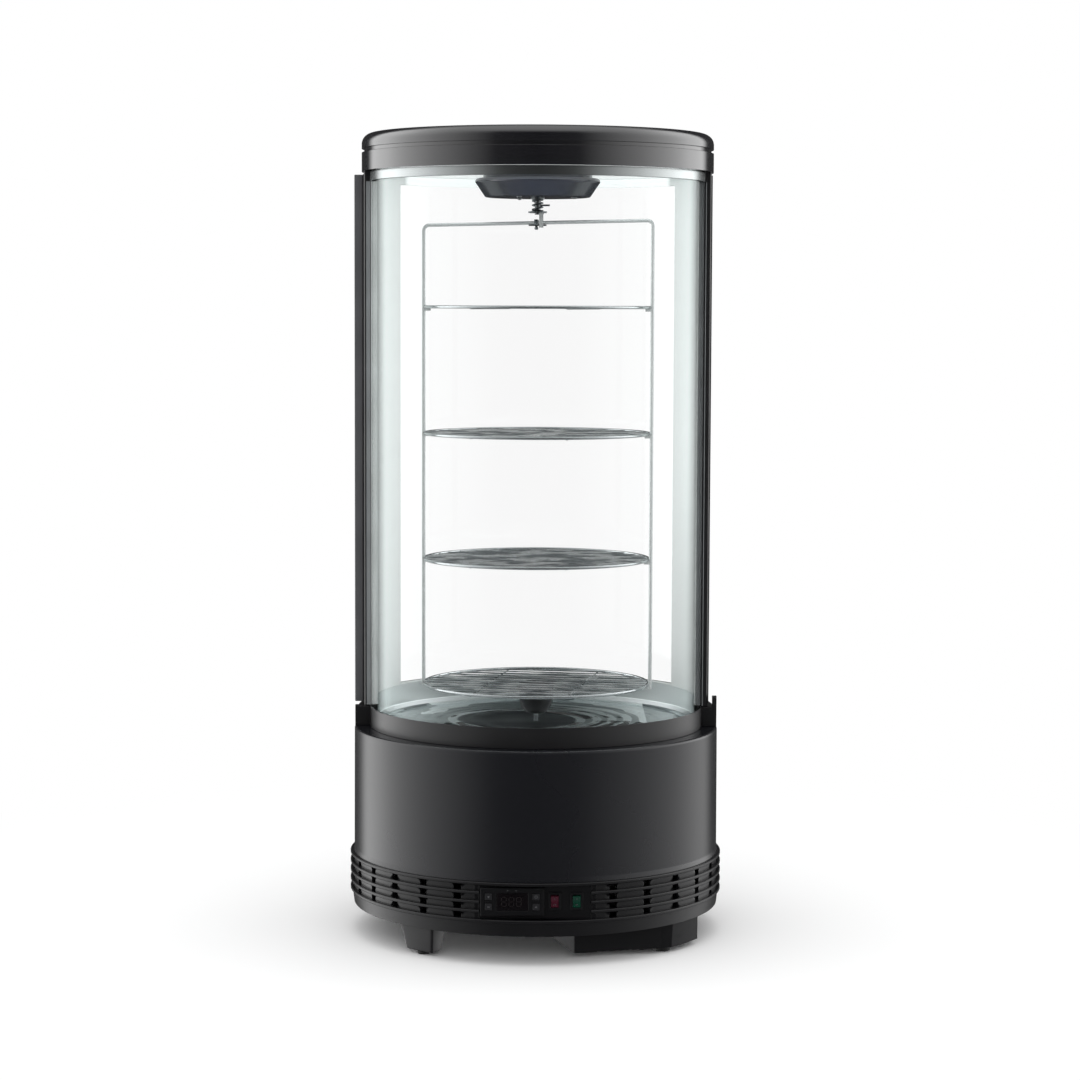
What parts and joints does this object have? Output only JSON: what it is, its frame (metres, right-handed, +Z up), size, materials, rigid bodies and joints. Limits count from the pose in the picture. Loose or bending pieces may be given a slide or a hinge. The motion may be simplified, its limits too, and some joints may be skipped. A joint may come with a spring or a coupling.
{
  "type": "cake display case",
  "caption": "Tall round countertop display case with a turning wire carousel, a curved glass door at the rear, a vented base and round shelves.",
  "frame": {"origin": "bottom centre of the overall box, on the counter below the case's axis", "axes": "+Z up along the case's axis, -Y towards the front with the controls, +Y towards the door, +X to the right seen from the front"},
  "size_m": [0.462, 0.462, 0.984],
  "materials": {
    "black_moulding": "satin, fine texture",
    "black_gloss": "gloss",
    "black_paint": "satin powder coat",
    "rubber": "matte",
    "clear_glass": "polished, faint green",
    "steel": "polished",
    "wire": "bright plated",
    "bright_trim": "bright anodised",
    "white_plastic": "smooth",
    "light_liner": "smooth, light grey",
    "foam_deck": "moulded foam skin",
    "copper": "copper tone",
    "fins": "plain",
    "zinc": "zinc",
    "dark_lens": "smoked",
    "grey_button": "satin",
    "red_lens": "translucent red",
    "green_lens": "translucent green"
  },
  "bodies": {
    "cabinet": {"bottom_tray": "black_moulding", "feet": "black_moulding", "foot_pads": "rubber", "tray_housing": "black_moulding", "vent_ring": "black_moulding", "control_panel": "black_moulding", "thermostat": "black_moulding", "thermostat_window": "dark_lens", "switch_frames": "black_gloss", "power_inlet": "black_moulding", "base_shell": "black_paint", "compressor": "black_paint", "condenser": "fins", "fan_shroud": "zinc", "pipework": "copper", "insulated_deck": "foam_deck", "evaporator": "fins", "floor_pan": "steel", "floor_spindle": "steel", "front_collar": "black_moulding", "rear_rim": "black_moulding", "side_posts": "black_moulding", "front_glass": "clear_glass", "glass_seals": "rubber", "glass_trim": "bright_trim", "ceiling_panel": "white_plastic", "lid_plate": "zinc", "lid_skirt": "black_gloss", "lid_top": "black_gloss", "gear_motor": "zinc", "motor_cover": "black_gloss"},
    "water_tray": {"water_tray": "black_moulding"},
    "set_button": {"button_set": "grey_button"},
    "down_button": {"button_down": "grey_button"},
    "up_button": {"button_up": "grey_button"},
    "power_button": {"button_power": "grey_button"},
    "red_rocker": {"rocker_red": "red_lens"},
    "green_rocker": {"rocker_green": "green_lens"},
    "fan": {"condenser_fan": "black_moulding"},
    "drive_shaft": {"drive_shaft": "steel", "coupling_spring": "wire"},
    "carousel": {"hanger_washer": "wire", "hanger_strip": "wire", "bar_clip": "wire", "carrier_frame": "wire", "shelf_1": "wire", "shelf_2": "wire", "shelf_3": "wire", "shelf_4": "wire", "shelf_clips": "wire", "turning_hub": "black_gloss"},
    "door": {"door_frame": "black_moulding", "door_glass": "clear_glass", "door_liners": "light_liner", "door_gasket": "rubber", "door_grip": "black_gloss", "hinge_pins": "steel"}
  },
  "joints": [
    {"name": "water_tray_slide", "type": "slide", "parent": "cabinet", "child": "water_tray", "axis": [0.2706, -0.9627, 0], "range_m": [0, 0.08]},
    {"name": "set_button_press", "type": "slide", "parent": "cabinet", "child": "set_button", "axis": [0, 1, 0], "range_m": [0, 0.0008], "stiffness_N_per_m": 400, "springref_m": -0.0005},
    {"name": "down_button_press", "type": "slide", "parent": "cabinet", "child": "down_button", "axis": [0, 1, 0], "range_m": [0, 0.0008], "stiffness_N_per_m": 400, "springref_m": -0.0005},
    {"name": "up_button_press", "type": "slide", "parent": "cabinet", "child": "up_button", "axis": [0, 1, 0], "range_m": [0, 0.0008], "stiffness_N_per_m": 400, "springref_m": -0.0005},
    {"name": "power_button_press", "type": "slide", "parent": "cabinet", "child": "power_button", "axis": [0, 1, 0], "range_m": [0, 0.0008], "stiffness_N_per_m": 400, "springref_m": -0.0005},
    {"name": "red_rocker_tilt", "type": "hinge", "parent": "cabinet", "child": "red_rocker", "pos_m": [0.023, -0.21667, 0.076], "axis": [1, 0, 0], "range_deg": [-18, 0]},
    {"name": "green_rocker_tilt", "type": "hinge", "parent": "cabinet", "child": "green_rocker", "pos_m": [0.049, -0.21667, 0.076], "axis": [1, 0, 0], "range_deg": [-18, 0]},
    {"name": "fan_spin", "type": "hinge", "parent": "cabinet", "child": "fan", "pos_m": [0.062, -0.02, 0.1], "axis": [1, 0, 0], "continuous": true},
    {"name": "carousel_spin", "type": "hinge", "parent": "cabinet", "child": "drive_shaft", "pos_m": [0, 0, 0.8765], "axis": [0, 0, 1], "continuous": true},
    {"name": "carousel_lift", "type": "slide", "parent": "drive_shaft", "child": "carousel", "axis": [0, 0, 1], "range_m": [0, 0.005], "stiffness_N_per_m": 400, "springref_m": -0.01, "deforming": ["coupling_spring"]},
    {"name": "door_swing", "type": "hinge", "parent": "cabinet", "child": "door", "pos_m": [0.2108, 0.0095, 0.6], "axis": [0, 0, -1], "range_deg": [0, 105]}
  ]
}
